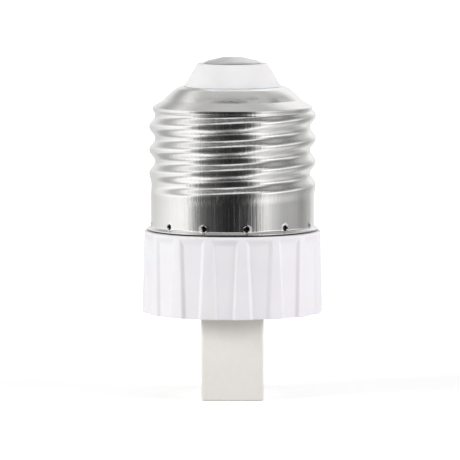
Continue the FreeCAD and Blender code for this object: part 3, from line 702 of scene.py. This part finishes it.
# Tip: the moulded insulator, and the contact riveted through it. A contact's corner is a
# radius, a step along the axis and, where it is rounded, its rounding.
tip = {"columns": 144, "hole": 1.55, "edge": 0.35, "flangeRound": 0.2, "neck": 7.05,
       "lap": 7.6, "lapRound": 0.05, "end": 5.5}
dome = {"middle": (1.6, 0.03, 1.6), "shoulder": (4.1, 0.62, 2.5), "rim": (4.4, 0.16, 0.12),
        "foot": (4.25, 0.05), "shank": 1.45, "rivetGap": 0.3, "rivet": (2.1, 0.1),
        "rivetEnd": (2.0, 0.25)}


# Both are profiles turned about the axis.
def makeTip():
    shellTop, sheet = shellHigh[2], screw["sheet"]
    low, high = boxOf("tip_insulator")
    line = roundedLine([
        (tip["hole"], low[2]),
        (high[0], low[2], tip["flangeRound"]),
        (high[0], shellTop - sheet),
        (tip["neck"], shellTop - sheet),
        (tip["neck"], shellTop),
        (tip["lap"], shellTop, tip["lapRound"]),
        (tip["end"], high[2], tip["edge"]),
        (tip["hole"], high[2]),
    ])
    insulator = gridPiece("tipInsulator", turnedGrid(line, tip["columns"]))
    place(insulator, tipSurface(), "tip_plastic", "tip_insulator")
    contactLow, contactHigh = boxOf("centre_contact")
    seat, crown, rivetTop = high[2], contactHigh[2], low[2] - dome["rivetGap"]
    middle, shoulder, rim = dome["middle"], dome["shoulder"], dome["rim"]
    line = roundedLine([
        (0.0, crown),
        (middle[0], crown - middle[1], middle[2]),
        (shoulder[0], crown - shoulder[1], shoulder[2]),
        (rim[0], seat + rim[1], rim[2]),
        (dome["foot"][0], seat, dome["foot"][1]),
        (dome["shank"], seat),
        (dome["shank"], rivetTop),
        (dome["rivet"][0], rivetTop, dome["rivet"][1]),
        (dome["rivetEnd"][0], contactLow[2], dome["rivetEnd"][1]),
        (0.0, contactLow[2]),
    ], closed=False)
    contact = gridPiece("centreContact", turnedGrid(line, tip["columns"]), ringAlong=False)
    place(contact, contactSurface(), "contact_metal", "centre_contact")


# Eyelet: a tube with a rolled head at each end, which holds the mica cover down.
eyelet = {"bore": 0.65, "tube": 1.0, "head": 1.7, "mouthRound": 0.3, "headRound": 0.16,
          "underRound": 0.12, "columns": 48}


# A profile turned about the axis.
def makeEyelet():
    low, high = boxOf("cover_eyelet")
    bore, tube, head = eyelet["bore"], eyelet["tube"], eyelet["head"]
    wall = tube - bore
    line = roundedLine([
        (bore, low[2], eyelet["mouthRound"]),
        (head, low[2], eyelet["headRound"]),
        (head, low[2] + wall, eyelet["underRound"]),
        (tube, low[2] + wall),
        (tube, high[2] - wall),
        (head, high[2] - wall, eyelet["underRound"]),
        (head, high[2], eyelet["headRound"]),
        (bore, high[2], eyelet["mouthRound"]),
    ])
    ring = gridPiece("coverEyelet", turnedGrid(line, eyelet["columns"]))
    place(ring, brass, "eyelet_brass", "cover_eyelet")


# Socket block and contact clips keep their solids' form, with their edges broken.
edges = {"block": 0.12, "clip": 0.05}


def makeSocket():
    block = softenedCopy("socketBlock", "socket_block", edges["block"], segments=3)
    place(block, ceramic, "block_ceramic", "socket_block")
    spring = stripSurface("clip metal", tones["clip"], 0.22)
    for name, node in (("liveClip", "live_clip"), ("neutralClip", "neutral_clip")):
        clip = softenedCopy(name, node, edges["clip"])
        place(clip, spring, "clip_metal", node)


brass = stripSurface("rolled brass", tones["brass"], 0.2)
makeShell()
makeCollar()
makeHooks()
makeTip()
makeEyelet()
makeSocket()
# The strips and the mica cover stay as their solids are.
for node, surface in (("live_strip", brass), ("neutral_strip", brass),
                      ("mica_cover", micaSurface())):
    nodes[node].data.materials.clear()
    nodes[node].data.materials.append(surface)
print("pieces done")


# Floor: a pale sheet under the socket's mouth that keeps the shadow. To the camera and in
# mirrors it glows by the little that it lacks to white. near and far are metres from its
# middle.
floor = {"half": 1.6, "colour": (0.72, 0.72, 0.72, 1), "nearGlow": 0.45, "farGlow": 1.0,
         "near": 0.06, "far": 0.22}


def makeFloor():
    half = floor["half"]
    mesh = bpy.data.meshes.new("floor")
    corners = [(-half, -half, 0), (half, -half, 0), (half, half, 0), (-half, half, 0)]
    mesh.from_pydata(corners, [], [(0, 1, 2, 3)])
    sheet = linked("floor", mesh)
    surface, tree, shader = newSurface("pale floor", Roughness=1.0, Specular_IOR_Level=0.0,
                                       Base_Color=floor["colour"], Emission_Color=(1, 1, 1, 1))
    seen = addNode(tree, "LightPath").outputs
    bright = maths(tree, "MAXIMUM", seen["Is Camera Ray"], seen["Is Glossy Ray"])
    bright = maths(tree, "MAXIMUM", bright, seen["Is Transmission Ray"])
    where = addNode(tree, "TexCoord").outputs["Object"]
    away = addNode(tree, "VectorMath", {0: where}, operation="LENGTH").outputs["Value"]
    glow = addNode(tree, "MapRange", {"Value": away, "From Min": floor["near"],
                                      "From Max": floor["far"], "To Min": floor["nearGlow"],
                                      "To Max": floor["farGlow"]}, interpolation_type="SMOOTHSTEP")
    strength = maths(tree, "MULTIPLY", bright, glow.outputs["Result"])
    tree.links.new(strength, shader.inputs["Emission Strength"])
    mesh.materials.append(surface)
    sheet.visible_glossy = False


# The studio: even light on the object, white behind it, and in mirrors a white room with a
# dark gap on the side where the photograph was taken. Angles are in degrees, and each pair is
# (angle, brightness). round, gap and the shares go by the angle round the object, over by the
# angle over it from front to back, and the others by the angle above the level. tall and
# right hold half their brightness, because a ramp holds no more than 1.
studio = {
    "lit": 0.40,
    "round": ((-180, 0.80), (-148, 0.68), (-119, 0.80), (-95, 0.96), (-70, 1.0), (-58, 0.9),
              (45, 0.9), (60, 0.60), (75, 0.42), (100, 0.40), (116, 0.28), (128, 0.42),
              (141, 0.5), (153, 0.80), (180, 0.80)),
    "gap": ((-68, 0.0), (-50, 0.80), (-33, 0.93), (-4, 0.985), (23, 0.95), (33, 0.75), (46, 0.0)),
    "narrow": ((-90, 0.25), (-48, 0.25), (-28, 0.0), (0, 0.0), (35, 0.22), (90, 0.22)),
    "tall": ((-90, 0.5), (-50, 0.59), (-34, 0.59), (-22, 0.5), (-1, 0.5), (10, 0.59), (60, 0.59),
             (90, 0.5)),
    "dark": ((-90, 0.8), (-66, 0.82), (-56, 1.0), (44, 1.0), (58, 0.0)),
    "left": ((-90, 0.9), (-62, 0.95), (-48, 1.0), (-40, 0.5), (-31, 0.5), (-21, 1.0), (8, 1.0),
             (18, 0.9), (28, 0.5), (36, 0.5), (46, 0.95), (90, 1.0)),
    "leftShare": ((-180, 1.0), (-80, 1.0), (-62, 0.0), (180, 0.0)),
    "right": ((-90, 0.5), (-60, 0.75), (-25, 0.7), (-10, 0.5), (0, 0.5), (8, 0.95), (16, 0.95),
              (24, 0.55), (34, 0.25), (56, 0.25), (72, 0.4), (90, 0.5)),
    "rightShare": ((-180, 0.0), (42, 0.0), (60, 1.0), (108, 1.0), (126, 0.0), (180, 0.0)),
    "up": ((-90, 0.0), (47, 0.0), (59, 1.0), (90, 1.0)),
    "over": ((0, 0.0), (44, 0.0), (48, 0.3), (55, 0.85), (65, 0.80), (69, 0.30), (72, 0.04),
             (75, 0.06), (78, 0.25), (84, 0.40), (91, 0.50), (108, 0.55), (118, 0.45), (135, 0.6),
             (180, 0.8)),
}


# A brightness that runs straight between the given angles.
def angleRamp(tree, angle, pairs, low, high):
    share = addNode(tree, "MapRange", {"Value": angle, "From Min": math.radians(low),
                                       "From Max": math.radians(high), "To Min": 0.0,
                                       "To Max": 1.0})
    ramp = addNode(tree, "ValToRGB", {"Fac": share.outputs["Result"]})
    stops = ramp.color_ramp.elements
    while len(stops) < len(pairs):
        stops.new(0.5)
    for stop, (degrees, value) in zip(stops, pairs):
        stop.position = (degrees - low) / (high - low)
        stop.color = (value, value, value, 1)
    return ramp.outputs["Color"]


# The first value at share 0, the second at share 1.
def blended(tree, first, second, share):
    kept = maths(tree, "MULTIPLY", first, maths(tree, "SUBTRACT", 1.0, share))
    return maths(tree, "ADD", kept, maths(tree, "MULTIPLY", second, share))


def makeStudio():
    world = bpy.data.worlds.new("studio")
    world.use_nodes = True
    bpy.context.scene.world = world
    tree = world.node_tree
    tree.nodes.clear()
    toward = addNode(tree, "TexCoord").outputs["Generated"]
    parts = addNode(tree, "SeparateXYZ", {"Vector": toward}).outputs
    forward = maths(tree, "MULTIPLY", parts["Y"], -1.0)
    around = maths(tree, "ARCTAN2", parts["X"], forward)
    raised = maths(tree, "ARCSINE", parts["Z"])
    over = maths(tree, "ARCTAN2", parts["Z"], forward)

    def byTurn(name):
        return angleRamp(tree, around, studio[name], -180, 180)

    def byHeight(name):
        return angleRamp(tree, raised, studio[name], -90, 90)

    tall = maths(tree, "MULTIPLY", 2.0, byHeight("tall"))
    sides = maths(tree, "MULTIPLY", byTurn("round"), tall)
    for side, full in (("left", 1.0), ("right", 2.0)):
        banded = maths(tree, "MULTIPLY", full, byHeight(side))
        sides = maths(tree, "MULTIPLY", sides, blended(tree, 1.0, banded, byTurn(side + "Share")))
    narrow = byHeight("narrow")
    deep = maths(tree, "MULTIPLY", byTurn("gap"), byHeight("dark"))
    deep = maths(tree, "DIVIDE", maths(tree, "SUBTRACT", deep, narrow),
                 maths(tree, "SUBTRACT", 1.0, narrow))
    shaded = maths(tree, "MULTIPLY", sides,
                   maths(tree, "SUBTRACT", 1.0, maths(tree, "MAXIMUM", 0.0, deep)))
    room = blended(tree, shaded, angleRamp(tree, over, studio["over"], 0, 180), byHeight("up"))
    seen = addNode(tree, "LightPath").outputs
    mirrored = maths(tree, "MAXIMUM", seen["Is Glossy Ray"], seen["Is Transmission Ray"])
    level = maths(tree, "MULTIPLY", maths(tree, "SUBTRACT", 1.0, mirrored), studio["lit"])
    level = maths(tree, "ADD", level, maths(tree, "MULTIPLY", mirrored, room))
    level = maths(tree, "MAXIMUM", level, seen["Is Camera Ray"])
    back = addNode(tree, "Background", {"Color": (1, 1, 1, 1), "Strength": level})
    addNode(tree, "OutputWorld", {"Surface": back.outputs[0]})


# Lamps: soft panels left, right and above, which mirrors don't show, aimed at the object's
# middle: (name, place, width, watts, colour).
lamps = (
    ("leftPanel", (-0.56, -0.27, 0.26), 0.30, 2.75, (1.0, 1.0, 1.0)),
    ("rightPanel", (0.58, -0.22, 0.23), 0.30, 2.68, (0.985, 0.97, 1.0)),
    ("topPanel", (0.02, 0.10, 0.62), 0.40, 0.4, (1.0, 1.0, 1.0)),
)
aimHeight = 0.026


def makeLamps():
    for name, spot, size, power, colour in lamps:
        light = bpy.data.lights.new(name, "AREA")
        light.shape = "DISK"
        light.size = size
        light.energy = power
        light.color = colour
        lamp = linked(name, light)
        lamp.location = spot
        aim = lamp.location * -1
        aim.z += aimHeight
        lamp.rotation_euler = aim.to_track_quat("-Z", "Y").to_euler()
        lamp.visible_glossy = False


# Camera: far back and a little above the object, looking slightly down, as the photograph
# was taken. The reach is how near and how far it sees.
view = {"place": (-0.00039, -0.85, 0.1008), "down": 5.030, "lens": 425.4, "reach": (0.01, 20.0)}


def makeCamera():
    data = bpy.data.cameras.new("camera")
    data.lens = view["lens"]
    data.clip_start, data.clip_end = view["reach"]
    eye = linked("camera", data)
    eye.location = view["place"]
    eye.rotation_euler = (math.radians(90 - view["down"]), 0, 0)
    bpy.context.scene.camera = eye


makeFloor()
makeStudio()
makeLamps()
makeCamera()
bpy.context.scene.view_settings.view_transform = "Standard"
print("stage, light and camera ready")
